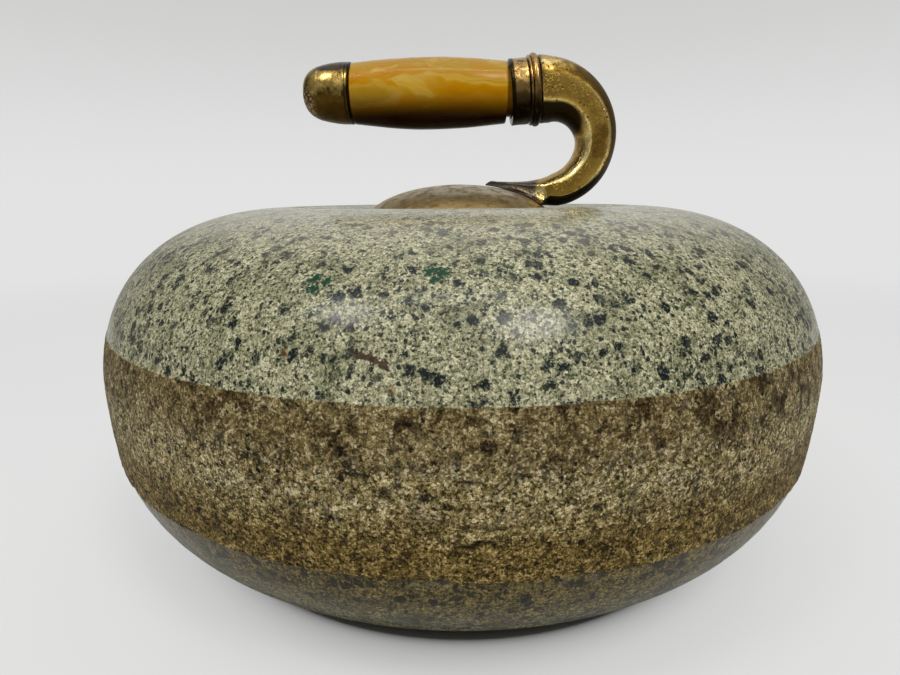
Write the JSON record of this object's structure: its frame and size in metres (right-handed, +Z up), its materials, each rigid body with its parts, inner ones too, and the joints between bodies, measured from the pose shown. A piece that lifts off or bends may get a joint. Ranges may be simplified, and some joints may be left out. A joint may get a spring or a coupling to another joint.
{
  "type": "curling stone",
  "caption": "Round granite curling stone with cupped running faces and a metal gooseneck handle that unscrews from a through bolt.",
  "frame": {"origin": "on the ice, at the centre of the lower running band, on the stone's axis", "axes": "+Z up along the stone's axis; the grip points along -X from a gooseneck on the +X side; +Y completes a right-handed frame"},
  "size_m": [0.284, 0.284, 0.1896],
  "materials": {
    "granite": "satin",
    "bolt_steel": "matte",
    "leather": "matte",
    "dull_plate": "satin",
    "polished_brass": "gloss",
    "collar_bronze": "satin",
    "tang_steel": "satin",
    "marbled_resin": "gloss",
    "worn_brass": "gloss"
  },
  "bodies": {
    "stone": {"granite_body": "granite", "handle_bolt": "bolt_steel", "bolt_washer": "bolt_steel", "bolt_packing": "leather"},
    "seat": {"dome_seat_ring": "leather"},
    "handle": {"handle_base_dome": "dull_plate", "gooseneck": "polished_brass", "collar_bead_ring": "collar_bronze", "neck_ferrule": "collar_bronze", "tang_rod": "tang_steel"},
    "grip": {"grip": "marbled_resin"},
    "cap": {"end_cap": "worn_brass"}
  },
  "joints": [
    {"name": "handle_lift", "type": "slide", "parent": "stone", "child": "seat", "axis": [0, 0, 1], "range_m": [0, 0.014]},
    {"name": "handle_turn", "type": "hinge", "parent": "seat", "child": "handle", "pos_m": [0, 0, 0.12], "axis": [0, 0, 1], "range_deg": [0, 2380]},
    {"name": "grip_slide", "type": "slide", "parent": "handle", "child": "grip", "axis": [-1, 0, 0], "range_m": [0, 0.0085]},
    {"name": "cap_turn", "type": "hinge", "parent": "grip", "child": "cap", "pos_m": [0.0335, 0, 0.1748], "axis": [-1, 0, 0], "range_deg": [0, 1928]}
  ],
  "couplings": [
    {"joint": "handle_lift", "follows": "handle_turn", "m_per_rad": 0.00033688},
    {"joint": "cap_turn", "follows": "grip_slide", "rad_per_m": 3957.9}
  ]
}
